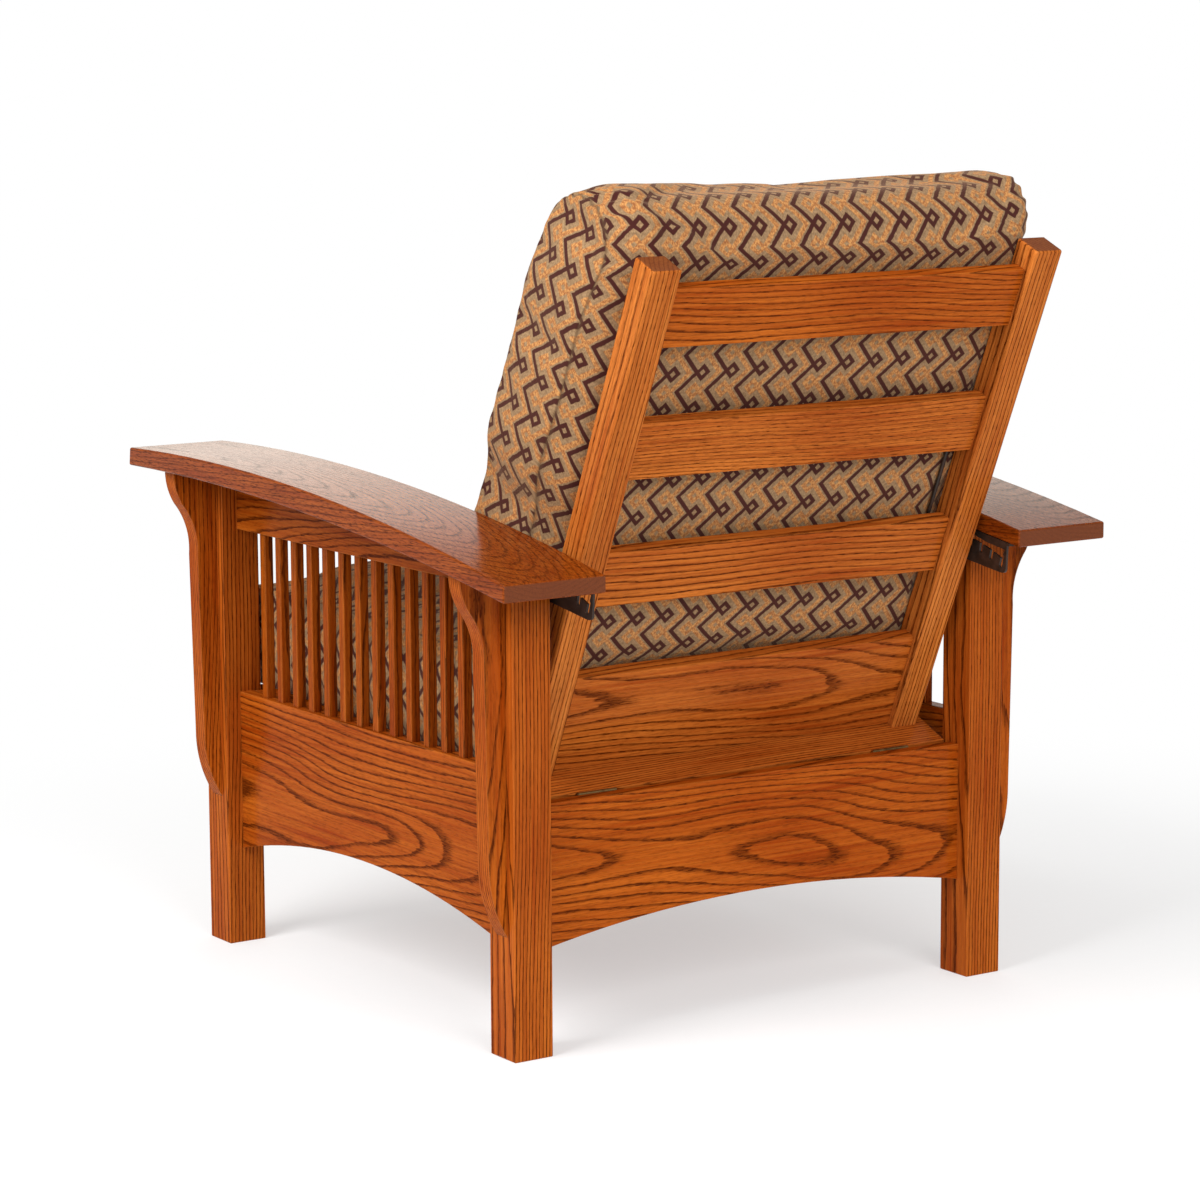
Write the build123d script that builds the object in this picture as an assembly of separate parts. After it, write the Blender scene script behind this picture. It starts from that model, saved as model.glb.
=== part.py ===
from build123d import *
from math import asin, atan2, cos, degrees, hypot, radians, sin, sqrt, tan
import os

# A mission reclining armchair in solid oak: square legs, arched rails, spindled sides, bowed
# arms on long corbels, and a slatted back that swings on two butt hinges and is held by a
# latch rod in notched steel combs. Lengths are in millimetres and angles in degrees.
# The chair faces -Y and the sitter's left is +X. Until export, y is counted from the middle
# of the legs and z from the floor. In the back, t runs up along the stiles from their foot
# and n runs from the rear face of the stiles towards the sitter.

# clearances
GLUE_GAP = 0.1
FIT = 0.05
REST_GAP = 0.3
OVERRUN = 20.0

# legs and the frame over them
LEG = 50.8
FRAME_WIDTH = 701.7
FRAME_DEPTH = 711.2
LEG_EDGE = 1.5
FOOT_EDGE = 1.0

# rails, all sawn from the same thickness of board
BOARD = 19.0
SIDE_SETBACK = 21.0
FRONT_SETBACK = 20.0
REAR_SETBACK = 19.9
RAIL_TOP = 321.0
RAIL_FOOT = 121.0
RAIL_RISE = 39.0
REAR_RAIL_TOP = 285.0
REAR_RAIL_FOOT = 118.5
REAR_RAIL_RISE = 28.5
RAIL_EDGE = 1.0

# spindles between side rail and apron
SPINDLE = 12.0
SPINDLE_COUNT = 14
SPINDLE_END = 57.15
SPINDLE_EDGE = 0.8
APRON_DROP = 76.8

# bowed arms, sawn to one arc on top and a flatter one beneath, rounded on every edge
ARM_WIDTH = 132.3
ARM_LAP = 8.85
ARM_FRONT_OVERHANG = 54.5
ARM_REAR_OVERHANG = 97.3
ARM_END_SLANT = 2.7
ARM_UNDER_HEIGHT = 602.8
ARM_UNDER_RADIUS = 4847.0
ARM_UNDER_CROWN_BACK = 71.1
ARM_CROWN_THICKNESS = 24.4
ARM_TOP_RADIUS = 3776.0
ARM_TOP_CROWN_BACK = 143.1
ARM_EDGE = 2.5

# corbels under the arms, as shares of their projection and length
CORBEL_THICKNESS = 23.0
CORBEL_PROJECTION = 58.0
CORBEL_LENGTH = 415.0
BROW_SHARES = [(1.0, 0.0), (0.945, 0.06), (0.80, 0.105)]
THROAT_SHARES = [(0.80, 0.105), (0.56, 0.165), (0.47, 0.26)]
TOE_SHARES = [(0.40, 0.80), (0.30, 0.905), (0.0, 1.0)]

# seat deck: cleats on the side rails carry loose slats that fall towards the back
DECK_FALL = 1.85
CLEAT_HEIGHT = 25.0
CLEAT_THICKNESS = 19.0
DECK_SLAT_COUNT = 7
DECK_SLAT_WIDTH = 50.0
DECK_SLAT_THICKNESS = 15.0
DECK_BACK_CLEARANCE = 8.0
DECK_END_CLEARANCE = 1.5
CLEAT_SCREWS = 4
CLEAT_SCREW_LENGTH = 30.0
CLEAT_SCREW_INSET = 40.0

# back frame
BACK_LEAN = 23.5
STILE_WIDTH = 39.0
STILE_DEPTH = 36.5
STILE_LENGTH = 640.0
STILE_CLEARANCE = 7.4
STILE_EDGE = 3.0
SLAT_THICKNESS = 16.0
SLAT_HEIGHT = 70.7
SLAT_GAP = 92.0
BACK_RAIL_HEIGHT = 124.0
HINGE_BOARD_DEPTH = 74.9
HINGE_BOARD_CLEARANCE = 2.25
BOARD_SCREW_LENGTH = 55.0
BOARD_SCREW_EDGE = 12.0

# butt hinges between the hinge board and the rear rail
HINGE_LENGTH = 50.8
HINGE_INSET = 88.05
KNUCKLE = 5.0
KNUCKLE_COUNT = 5
KNUCKLE_GAP = 0.3
PIN = 2.6
PIN_HEAD = 4.4
PIN_HEAD_HEIGHT = 1.2
LEAF_THICKNESS = 1.2
LEAF_WIDTH = 17.0
AXIS_OFF_RAIL = 2.6
AXIS_OFF_BOARD = 2.9
HINGE_SCREW_LENGTH = 12.0
HINGE_SCREW_SPREAD = 17.0

# wood screws: shank, head and head height
SCREW_SHANK = 4.0
SCREW_HEAD = 8.0
SCREW_HEAD_HEIGHT = 2.4
SMALL_SHANK = 2.4
SMALL_HEAD = 4.6

# latch: a rod with two levers welded on, which drops into the notches of the two combs. Its drop
# is from the arm over the rear leg, and the notches lie a step apart along their arc
ROD = 4.8
LATCH_DROP = 18.27194
LATCH_LIFT = 11.0
LEVER_INSET = 12.8
LEVER_LENGTH = 178.0
LEVER_GRIP = 30.0
LEVER_BEND = 12.0
ROD_END_CLEARANCE = 3.5
NOTCH_COUNT = 5
NOTCH_STEP = 19.31602
NOTCH_CLEARANCE = 0.3
CHANNEL_CLEARANCE = 0.4

# notched comb brackets under the arms
COMB_SHEET = 3.0
COMB_FRONT_MARGIN = 12.0
COMB_FRONT_LAND = 15.0
COMB_REAR_BAR = 13.6
COMB_LAND = 5.7
COMB_CORNER = 5.5
COMB_REAR_SLANT = 6.5
COMB_TOP_BAR = 9.0
COMB_WINDOW_REACH = 20.0
COMB_FLANGE = 8.0
COMB_EAR = 38.0
COMB_EAR_LENGTH = 70.0
COMB_EAR_OFF_LEG = 5.0
COMB_SCREW_INSET = 14.0
COMB_SCREW_LENGTH = 14.0

# seat cushion: a boxed pad, crowned on top, its sides drawn in between the corners
SEAT_SIDE_CLEARANCE = 3.05
SEAT_FRONT_LAP = 7.6
SEAT_BACK_CLEARANCE = 9.0
SEAT_BOX = 130.0
SEAT_BACK_RAKE = 26.0
SEAT_CROWN = 40.0
SEAT_DRAW = 9.0
SEAT_ROLL = 14.0
SEAT_ROLL_SHARES = [(0.0, 0.8), (1.0, 0.0)]
SEAT_CROWN_SHARES = [(0.0, 0.0), (0.35, 0.08), (0.65, 0.22), (0.88, 0.42), (1.0, 0.68)]

# back cushion: a waterfall pad whose one long panel runs up the rear, over and down the front
PAD_OVER_ARM = 6.8
PAD_DEPTH = 192.0
PAD_CROWN = 30.0
PAD_DRAW = 6.0
PAD_BOTTOM = 122.0
PAD_TOP = 704.0
PAD_SIDE_GAP = 3.7
PAD_FLAT_SHARE = 0.84
PAD_CORNER_SHARE = (0.74, 0.30)

# rows of the back cushion from its foot up: whether it is above the arms, then shares of its
# height, of its half width there, of its depth for rear, rear seam and front seam, and of its crown
PAD_ROW_SHARES = [
    (False, 0.0, 0.95, 0.16, 0.40, 0.78, 0.3),
    (False, 0.03, 0.985, 0.05, 0.41, 0.93, 0.7),
    (False, 0.14, 1.0, 0.0, 0.42, 1.0, 1.0),
    (False, 0.34, 1.0, 0.0, 0.39, 1.0, 1.1),
    (True, 0.52, 1.0, 0.0, 0.34, 0.97, 1.1),
    (True, 0.72, 1.0, 0.0, 0.29, 0.96, 1.05),
    (True, 0.83, 0.995, 0.0, 0.26, 0.90, 0.85),
    (True, 0.89, 0.985, 0.0, 0.25, 0.80, 0.45),
    (True, 0.94, 0.965, 0.01, 0.20, 0.53, 0.2),
    (True, 0.975, 0.93, 0.03, 0.16, 0.33, 0.1),
    (True, 1.0, 0.89, 0.08, 0.14, 0.21, 0.05),
]


def arc_height(y, crown_y, crown_z, radius):
    """The height at y of an arc that is highest at crown_y."""
    return crown_z - radius + sqrt(radius ** 2 - (y - crown_y) ** 2)


def turned(y, z, angle):
    """A place in the side view, swung back about the hinge axis by an angle."""
    a = radians(angle)
    dy, dz = y - hinge_y, z - hinge_z
    return hinge_y + dy * cos(a) + dz * sin(a), hinge_z - dy * sin(a) + dz * cos(a)


def back_place(t, n):
    """The side view place, y and z, of a place t, n in the back."""
    a = radians(BACK_LEAN)
    return foot_y + t * sin(a) - n * cos(a), foot_z + t * cos(a) + n * sin(a)


# places that follow from the sizes
half_width = FRAME_WIDTH / 2
half_depth = FRAME_DEPTH / 2
leg_x = half_width - LEG / 2
leg_y = half_depth - LEG / 2
leg_inner_x = half_width - LEG
leg_inner_y = half_depth - LEG
side_x = half_width - SIDE_SETBACK - BOARD / 2
front_rail_y = -half_depth + FRONT_SETBACK + BOARD / 2
rear_rail_y = half_depth - REAR_SETBACK - BOARD / 2

apron_bottom = ARM_UNDER_HEIGHT - APRON_DROP

arm_inner = leg_inner_x - ARM_LAP
arm_front = -half_depth - ARM_FRONT_OVERHANG
arm_rear = half_depth + ARM_REAR_OVERHANG
under_crown_y = arm_front + ARM_UNDER_CROWN_BACK
top_crown_y = arm_front + ARM_TOP_CROWN_BACK
top_crown_z = ARM_UNDER_HEIGHT + ARM_CROWN_THICKNESS

hinge_y = rear_rail_y - BOARD / 2 - AXIS_OFF_RAIL
hinge_z = REAR_RAIL_TOP
board_rear_n = STILE_DEPTH - HINGE_BOARD_DEPTH
axis_n = board_rear_n - AXIS_OFF_BOARD
foot_y = hinge_y + axis_n * cos(radians(BACK_LEAN))
foot_z = hinge_z - axis_n * sin(radians(BACK_LEAN))
stile_outer = arm_inner - STILE_CLEARANCE
stile_inner = stile_outer - STILE_WIDTH
slat_rear_n = (STILE_DEPTH - SLAT_THICKNESS) / 2
slat_front_n = slat_rear_n + SLAT_THICKNESS
board_front_y = back_place(-BOARD, STILE_DEPTH)[0]

latch_n = slat_front_n + REST_GAP + ROD / 2
leg_top_z = arc_height(half_depth, under_crown_y, ARM_UNDER_HEIGHT, ARM_UNDER_RADIUS)
low_z = leg_top_z - LATCH_DROP
latch_t = (low_z - foot_z - latch_n * sin(radians(BACK_LEAN))) / cos(radians(BACK_LEAN))
low_y = back_place(latch_t, latch_n)[0]
lift_z = low_z + LATCH_LIFT
notch_angle = degrees(NOTCH_STEP / hypot(low_y - hinge_y, low_z - hinge_z))
travel = notch_angle * (NOTCH_COUNT - 1)
rod_half = arm_inner + COMB_SHEET + ROD_END_CLEARANCE - REST_GAP

deck_slope = tan(radians(DECK_FALL))
deck_datum_y = front_rail_y + BOARD / 2


def deck_height(y):
    """The height of the sloping seat deck at y."""
    return RAIL_TOP - (y - deck_datum_y) * deck_slope


def under_height(y):
    """The height of the arm's underside at y."""
    return arc_height(y, under_crown_y, ARM_UNDER_HEIGHT, ARM_UNDER_RADIUS)


def block(x, y, z):
    """A plain board between two places on each axis."""
    size = [end - start for start, end in (x, y, z)]
    middle = [(end + start) / 2 for start, end in (x, y, z)]
    return Pos(*middle) * Box(*size)


def across(outline, start, width):
    """A board cut to an outline in the side view, that runs along X."""
    return Pos(start, 0, 0) * extrude(make_face(outline), width, dir=(1, 0, 0))


def bar(diameter, length):
    """A round bar along X, about the middle of its length."""
    return Rot(0, 90, 0) * Cylinder(diameter / 2, length)


def leaned(shape):
    """Stands a piece that was made upright, y for -n and z for t, on the foot of the back."""
    return Pos(0, foot_y, foot_z) * Rot(-BACK_LEAN, 0, 0) * shape


def mirrored(shape):
    """The same piece for the sitter's right side."""
    return mirror(shape, Plane.YZ)


def below_arm(gap):
    """All that lies under the arm's curved underside and a gap away from it."""
    axis_z = ARM_UNDER_HEIGHT - ARM_UNDER_RADIUS
    drum = bar(2 * (ARM_UNDER_RADIUS - gap), FRAME_WIDTH + 2 * ARM_WIDTH)
    return Pos(0, under_crown_y, axis_z) * drum


def eased(shape, axis, size):
    """Rounds the edges of a board that run along one axis."""
    return fillet(shape.edges().filter_by(axis), size)


def countersunk(shank, head, length, gap):
    """A flat-headed wood screw, its head's face at z = 0 and its point downwards."""
    rise = (head - shank) / 2
    cone = Pos(0, 0, -rise / 2) * Cone(shank / 2 + gap, head / 2 + gap, rise)
    stem = Pos(0, 0, -(length + gap) / 2) * Cylinder(shank / 2 + gap, length + gap)
    return cone + stem


def pan_screw(length, gap):
    """A round-headed wood screw, the underside of its head at z = 0 and its point upwards."""
    head = Pos(0, 0, -SCREW_HEAD_HEIGHT / 2) * Cylinder(SCREW_HEAD / 2, SCREW_HEAD_HEIGHT)
    head = chamfer(head.edges().group_by(Axis.Z)[0], SCREW_HEAD_HEIGHT / 2)
    return head + pan_hole(length, gap)


def pan_hole(length, gap):
    """The hole that a round-headed screw runs in."""
    return Pos(0, 0, (length + gap) / 2) * Cylinder(SCREW_SHANK / 2 + gap, length + gap)


# legs, rails and spindles
def leg(y):
    """A square leg on the sitter's left, cut to the arm's curve at its top."""
    spans = (leg_inner_x, half_width), (y - LEG / 2, y + LEG / 2)
    post = eased(block(*spans, (0, ARM_UNDER_HEIGHT + OVERRUN)), Axis.Z, LEG_EDGE)
    post = chamfer(post.edges().group_by(Axis.Z)[0], FOOT_EDGE)
    return post & below_arm(GLUE_GAP)


def arched_rail(length, top, foot, rise):
    """A rail along X, its lower edge a shallow arch and its upper edges eased."""
    half = length / 2
    arch = ThreePointArc((-half, 0, foot), (0, 0, foot + rise), (half, 0, foot))
    sides = Polyline((half, 0, foot), (half, 0, top), (-half, 0, top), (-half, 0, foot))
    rail = Pos(0, BOARD / 2, 0) * extrude(make_face(arch + sides), BOARD, dir=(0, -1, 0))
    return fillet(rail.edges().filter_by(Axis.X), RAIL_EDGE)


def side_rail():
    """The lower side rail, between the legs on the sitter's left."""
    rail = arched_rail(FRAME_DEPTH - 2 * LEG, RAIL_TOP, RAIL_FOOT, RAIL_RISE)
    return Pos(side_x, 0, 0) * Rot(0, 0, 90) * rail - cleat_screws(FIT)


def rear_rail():
    """The rear rail, with the holes for the hinge screws."""
    rail = arched_rail(FRAME_WIDTH - 2 * LEG, REAR_RAIL_TOP, REAR_RAIL_FOOT, REAR_RAIL_RISE)
    return Pos(0, rear_rail_y, 0) * rail - fixed_hinge_screws(FIT)


def front_rail():
    """The front rail, like the side rails."""
    rail = arched_rail(FRAME_WIDTH - 2 * LEG, RAIL_TOP, RAIL_FOOT, RAIL_RISE)
    return Pos(0, front_rail_y, 0) * rail


def apron():
    """The upper side rail, straight below and following the arm above."""
    x = side_x - BOARD / 2, side_x + BOARD / 2
    blank = block(x, (-leg_inner_y, leg_inner_y), (apron_bottom, ARM_UNDER_HEIGHT + OVERRUN))
    return blank & below_arm(GLUE_GAP)


def spindles():
    """The square spindles, evenly spaced between side rail and apron."""
    x = side_x - SPINDLE / 2, side_x + SPINDLE / 2
    first = -leg_inner_y + SPINDLE_END
    pitch = -2 * first / (SPINDLE_COUNT - 1)
    one = block(x, (-SPINDLE / 2, SPINDLE / 2), (RAIL_TOP, apron_bottom))
    one = chamfer(one.edges().filter_by(Axis.Z), SPINDLE_EDGE)
    return [Pos(0, first + i * pitch, 0) * one for i in range(SPINDLE_COUNT)]


# arms and corbels
def arm_arc(start, end, crown_y, crown_z, radius):
    """One of the arm's two long arcs, in the side view."""
    places = [start, (start + end) / 2, end]
    points = [(0, y, arc_height(y, crown_y, crown_z, radius)) for y in places]
    return ThreePointArc(*points)


def arm():
    """The bowed arm on the sitter's left, with the holes for the comb's screws."""
    top = arm_arc(arm_front + ARM_END_SLANT, arm_rear, top_crown_y, top_crown_z, ARM_TOP_RADIUS)
    under = arm_arc(arm_front, arm_rear, under_crown_y, ARM_UNDER_HEIGHT, ARM_UNDER_RADIUS)
    ends = Line(top @ 0, under @ 0) + Line(top @ 1, under @ 1)
    board = across(top + under + ends, arm_inner, ARM_WIDTH)
    board = fillet(board.edges(), ARM_EDGE)
    for hole in comb_screws(pan_hole, FIT):
        board -= hole
    return board


def corbel(y):
    """A long corbel on the outer face of the leg at y: brow, throat, slow taper and toe."""
    top = under_height(y)

    def place(point):
        return half_width + point[0] * CORBEL_PROJECTION, 0, top - point[1] * CORBEL_LENGTH

    brow = ThreePointArc(*map(place, BROW_SHARES))
    throat = ThreePointArc(*map(place, THROAT_SHARES))
    toe = ThreePointArc(*map(place, TOE_SHARES))
    head = half_width, 0, top + OVERRUN
    front = half_width + CORBEL_PROJECTION, 0, top + OVERRUN
    outline = brow + throat + Line(throat @ 1, toe @ 0) + toe + Polyline(toe @ 1, head, front, brow @ 0)
    blank = extrude(make_face(outline), CORBEL_THICKNESS, dir=(0, -1, 0))
    return Pos(0, y + CORBEL_THICKNESS / 2, 0) * blank & below_arm(GLUE_GAP)


# seat deck
def cleat():
    """A cleat along the side rail, its upper edge on the slope of the deck."""
    x = side_x - BOARD / 2 - CLEAT_THICKNESS
    depth = DECK_SLAT_THICKNESS / cos(radians(DECK_FALL))
    front, rear = -leg_inner_y, board_front_y - DECK_BACK_CLEARANCE
    upper = deck_height(front) - depth, deck_height(rear) - depth
    corners = [(0, front, upper[0]), (0, rear, upper[1])]
    corners += [(0, rear, upper[1] - CLEAT_HEIGHT), (0, front, upper[0] - CLEAT_HEIGHT)]
    strip = across(Polyline(*corners, close=True), x, CLEAT_THICKNESS)
    for hole in cleat_screws(FIT):
        strip -= hole
    return strip


def cleat_screws(gap):
    """The screws that hold a cleat to the sitter's left side rail."""
    x = side_x - BOARD / 2 - CLEAT_THICKNESS
    rear = board_front_y - DECK_BACK_CLEARANCE - CLEAT_SCREW_INSET
    front = -leg_inner_y + CLEAT_SCREW_INSET
    screw = Rot(0, -90, 0) * countersunk(SCREW_SHANK, SCREW_HEAD, CLEAT_SCREW_LENGTH, gap)
    placed = []
    for i in range(CLEAT_SCREWS):
        y = front + (rear - front) * i / (CLEAT_SCREWS - 1)
        z = deck_height(y) - DECK_SLAT_THICKNESS - CLEAT_HEIGHT / 2
        placed.append(Pos(x, y, z) * screw)
    return placed


def deck_slats():
    """Seven slats that cross the seat from cleat to cleat."""
    half = side_x - BOARD / 2 - DECK_END_CLEARANCE
    front = -leg_inner_y + DECK_END_CLEARANCE
    rear = board_front_y - DECK_BACK_CLEARANCE
    pitch = (rear - front - DECK_SLAT_WIDTH) / (DECK_SLAT_COUNT - 1)
    placed = []
    for i in range(DECK_SLAT_COUNT):
        y = front + i * pitch
        slat = block((-half, half), (0, DECK_SLAT_WIDTH), (-DECK_SLAT_THICKNESS, 0))
        placed.append(Pos(0, y, deck_height(y)) * Rot(-DECK_FALL, 0, 0) * slat)
    return placed


# back frame
def stile():
    """A stile of the back, open at the front where the latch rod crosses it."""
    post = block((stile_inner, stile_outer), (-STILE_DEPTH, 0), (0, STILE_LENGTH))
    top = post.edges().group_by(Axis.Z)[-1]
    post = fillet(post.edges().filter_by(Axis.Z) + top, STILE_EDGE)
    reach = ROD / 2 + REST_GAP
    lift_t = LATCH_LIFT * cos(radians(BACK_LEAN))
    rise = latch_t - reach, latch_t + lift_t + reach
    groove = block((0, stile_outer + OVERRUN), (-STILE_DEPTH - OVERRUN, -slat_front_n), rise)
    return leaned(post - groove - board_screws(FIT))


def back_board(start, height, thickness):
    """A cross board of the back between the stiles, from t = start."""
    rear = (STILE_DEPTH - thickness) / 2
    board = block((-stile_inner, stile_inner), (-rear - thickness, -rear), (start, start + height))
    return leaned(eased(board, Axis.X, RAIL_EDGE))


def back_rail():
    """The wide bottom rail of the back."""
    return back_board(0, BACK_RAIL_HEIGHT, BOARD)


def back_slat(index):
    """A slat of the back, counted upwards from 0."""
    start = BACK_RAIL_HEIGHT + SLAT_GAP + index * (SLAT_HEIGHT + SLAT_GAP)
    return back_board(start, SLAT_HEIGHT, SLAT_THICKNESS)


def hinge_board():
    """The board across the foot of the back, square to the stiles."""
    half = leg_inner_x - HINGE_BOARD_CLEARANCE
    board = block((-half, half), (-STILE_DEPTH, -board_rear_n), (-BOARD, 0))
    board = eased(board, Axis.X, RAIL_EDGE) - board_screws(FIT)
    return leaned(board) - moving_hinge_screws(FIT)


def board_screws(gap):
    """The screws up through the hinge board into the stiles, before they lean."""
    screw = Rot(180, 0, 0) * countersunk(SCREW_SHANK, SCREW_HEAD, BOARD_SCREW_LENGTH, gap)
    placed = []
    for side in (-1, 1):
        for inset in (BOARD_SCREW_EDGE, STILE_WIDTH - BOARD_SCREW_EDGE):
            placed.append(Pos(side * (stile_inner + inset), -STILE_DEPTH / 2, -BOARD) * screw)
    return placed


# butt hinges
def knuckles(moving, gap):
    """The knuckles of one leaf along X, every second one of the barrel."""
    pitch = HINGE_LENGTH / KNUCKLE_COUNT
    first = 1 if moving else 0
    length = pitch - KNUCKLE_GAP + 2 * gap
    places = [(i + 0.5) * pitch - HINGE_LENGTH / 2 for i in range(first, KNUCKLE_COUNT, 2)]
    return [Pos(x, 0, 0) * bar(KNUCKLE + 2 * gap, length) for x in places]


def leaf(moving):
    """A hinge leaf: its plate hangs behind the axis, which lies at the origin."""
    y = AXIS_OFF_BOARD if moving else AXIS_OFF_RAIL
    half = HINGE_LENGTH / 2
    plate = block((-half, half), (y - LEAF_THICKNESS, y), (-LEAF_WIDTH, 0))
    for other in knuckles(not moving, KNUCKLE_GAP):
        plate -= other
    for one in knuckles(moving, 0):
        plate += one
    plate -= bar(PIN + 2 * FIT, HINGE_LENGTH + OVERRUN)
    for hole in leaf_screws(FIT):
        plate -= Pos(0, y - LEAF_THICKNESS, 0) * hole
    return plate


def leaf_screws(gap):
    """The three screws of a leaf, heads at y = 0 and points towards +Y."""
    screw = Rot(90, 0, 0) * countersunk(SMALL_SHANK, SMALL_HEAD, HINGE_SCREW_LENGTH, gap)
    z = -(KNUCKLE / 2 + LEAF_WIDTH) / 2
    return [Pos(i * HINGE_SCREW_SPREAD, 0, z) * screw for i in (-1, 0, 1)]


def at_axis(shape, side):
    """Sets a hinge piece on the hinge axis, on one side of the chair."""
    return Pos(side * (leg_inner_x - HINGE_INSET), hinge_y, hinge_z) * shape


def on_board(shape):
    """Turns a hinge piece to face the hinge board's rear edge instead of the rail."""
    return Rot(-BACK_LEAN, 0, 0) * mirror(shape, Plane.XZ)


def fixed_hinge_screws(gap):
    """The six screws of the fixed leaves."""
    y = AXIS_OFF_RAIL - LEAF_THICKNESS
    return [at_axis(Pos(0, y, 0) * s, side) for side in (-1, 1) for s in leaf_screws(gap)]


def moving_hinge_screws(gap):
    """The six screws of the moving leaves."""
    y = AXIS_OFF_BOARD - LEAF_THICKNESS
    placed = [on_board(Pos(0, y, 0) * screw) for screw in leaf_screws(gap)]
    return [at_axis(screw, side) for side in (-1, 1) for screw in placed]


def hinge_pin(side):
    """A hinge pin with a small ball head outside each end of the barrel."""
    pin = bar(PIN, HINGE_LENGTH + KNUCKLE_GAP)
    for end in (-1, 1):
        x = end * (HINGE_LENGTH + KNUCKLE_GAP + PIN_HEAD_HEIGHT) / 2
        pin += Pos(x, 0, 0) * bar(PIN_HEAD, PIN_HEAD_HEIGHT)
    return at_axis(pin, side)


# latch and combs
def on_latch(shape):
    """Sets a latch piece, made upright about the rod's middle, at the lifted rod's place."""
    return Pos(0, low_y, lift_z) * Rot(-BACK_LEAN, 0, 0) * shape


def latch_rod():
    """The cross rod of the latch in its lifted place."""
    return on_latch(bar(ROD, 2 * rod_half))


def latch_lever():
    """A lifting lever welded on the rod beside the stile, bent inwards as a finger grip."""
    x = stile_inner - LEVER_INSET
    foot, top = ROD / 2 - OVERRUN, LEVER_LENGTH
    path = FilletPolyline((x, 0, foot), (x, 0, top), (x - LEVER_GRIP, 0, top), radius=LEVER_BEND)
    lever = sweep(Plane(path @ 0, z_dir=path % 0) * Circle(ROD / 2), path=path)
    above = block((0, half_width), (-ROD, ROD), (0, top + ROD))
    return on_latch((lever & above) - bar(ROD + 2 * FIT, 2 * rod_half))


def polar(radius, angle):
    """A place in the side view at a radius and an angle from upright about the hinge."""
    a = radians(angle)
    return 0, hinge_y + radius * sin(a), hinge_z + radius * cos(a)


def sector(inner, outer, start, end):
    """A slice of a ring about the hinge axis, as wide as a comb's sheet and more."""
    middle = (start + end) / 2
    above = ThreePointArc(*(polar(outer, a) for a in (start, middle, end)))
    below = ThreePointArc(*(polar(inner, a) for a in (start, middle, end)))
    outline = above + below + Line(above @ 0, below @ 0) + Line(above @ 1, below @ 1)
    return across(outline, arm_inner - OVERRUN, COMB_SHEET + 2 * OVERRUN)


def notch():
    """The foremost notch, with its way up to the lifted rod."""
    half = ROD / 2 + NOTCH_CLEARANCE
    x = arm_inner - OVERRUN, arm_inner + COMB_SHEET + OVERRUN
    slot = block(x, (low_y - half, low_y + half), (low_z, lift_z))
    for z in (low_z, lift_z):
        slot += Pos(arm_inner, low_y, z) * bar(2 * half, COMB_SHEET + 2 * OVERRUN)
    return slot


def swung(shape, angle):
    """Swings a shape back about the hinge axis."""
    return Pos(0, hinge_y, hinge_z) * Rot(-angle, 0, 0) * Pos(0, -hinge_y, -hinge_z) * shape


def comb_plate():
    """The outline of the hanging plate, taken from the foremost and rearmost notches."""
    half = ROD / 2 + NOTCH_CLEARANCE
    last_y, last_z = turned(low_y, low_z - half, travel)
    front = low_y - COMB_FRONT_MARGIN
    rear = last_y + half + COMB_REAR_BAR
    toe = low_z - half - COMB_FRONT_LAND
    heel = last_z - COMB_LAND
    top = ARM_UNDER_HEIGHT
    corners = [(front, top), (front, toe), (last_y, heel), (rear - COMB_REAR_SLANT, heel), (rear, top)]
    corners = [(0, y, z) for y, z in corners]
    outline = FilletPolyline(*corners, radius=[COMB_LAND, COMB_CORNER, COMB_CORNER])
    return across(outline + Line(outline @ 1, outline @ 0), arm_inner, COMB_SHEET), front, rear


def ear_end(rear):
    """The rear end of a comb's ear: the plate's own, or further back where that is too short."""
    return max(rear, half_depth + COMB_EAR_OFF_LEG + COMB_EAR_LENGTH)


def comb():
    """A comb on the sitter's left: plate, channel and notches, and a flange under the arm."""
    plate, front, rear = comb_plate()
    radius = hypot(low_y - hinge_y, lift_z - hinge_z)
    start = degrees(atan2(low_y - hinge_y, lift_z - hinge_z))
    half = ROD / 2 + CHANNEL_CLEARANCE
    window = sector(radius - half, radius + COMB_WINDOW_REACH, start, start + travel)
    plate -= window & below_arm(COMB_TOP_BAR)
    plate -= sector(radius - half, radius + half, start, start + travel)
    for i in range(NOTCH_COUNT):
        plate -= swung(notch(), i * notch_angle)
    ear_front = half_depth + COMB_EAR_OFF_LEG
    ear_rear = ear_end(rear)
    z = apron_bottom, ARM_UNDER_HEIGHT
    flange = block((arm_inner, arm_inner + COMB_FLANGE), (front, ear_rear), z)
    flange += block((arm_inner, arm_inner + COMB_EAR), (ear_front, ear_rear), z)
    flange -= below_arm(GLUE_GAP + COMB_SHEET)
    bracket = (plate + flange) & below_arm(GLUE_GAP)
    for hole in comb_screws(pan_hole, FIT):
        bracket -= hole
    return bracket


def comb_screws(make, gap):
    """The two screws, or their holes, up through the ear of a comb into the arm."""
    x = arm_inner + COMB_EAR - COMB_SCREW_INSET
    ear_front = half_depth + COMB_EAR_OFF_LEG
    ear_rear = ear_end(turned(low_y, low_z, travel)[0] + COMB_REAR_BAR)
    placed = []
    for y in (ear_front + COMB_SCREW_INSET, ear_rear - COMB_SCREW_INSET):
        tilt = degrees(asin((y - under_crown_y) / ARM_UNDER_RADIUS))
        drop = GLUE_GAP + COMB_SHEET + FIT
        seat = Pos(x, y, under_height(y)) * Rot(-tilt, 0, 0) * Pos(0, 0, -drop)
        placed.append(seat * make(COMB_SCREW_LENGTH, gap))
    return placed


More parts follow.
